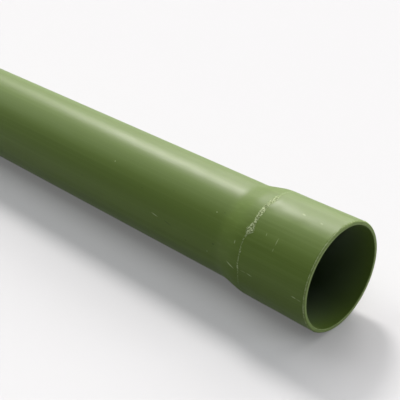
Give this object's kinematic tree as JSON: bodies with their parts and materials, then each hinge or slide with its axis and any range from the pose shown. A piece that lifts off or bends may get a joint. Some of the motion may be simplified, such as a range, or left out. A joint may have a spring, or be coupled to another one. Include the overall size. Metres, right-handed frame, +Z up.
{
  "type": "belled pvc conduit pipe",
  "caption": "Straight length of thick-walled plastic electrical conduit with a formed socket on one end that takes the plain end of the next length.",
  "frame": {"origin": "centre of the plain end's cut face, on the pipe's axis", "axes": "+X along the pipe's axis from the plain end to the socket's mouth, +Z up with the pipe lying level, +Y across it"},
  "size_m": [3, 0.1266, 0.1264],
  "materials": {
    "extruded_pvc": "satin"
  },
  "bodies": {
    "root": {"conduit_pipe": "extruded_pvc"}
  },
  "joints": []
}
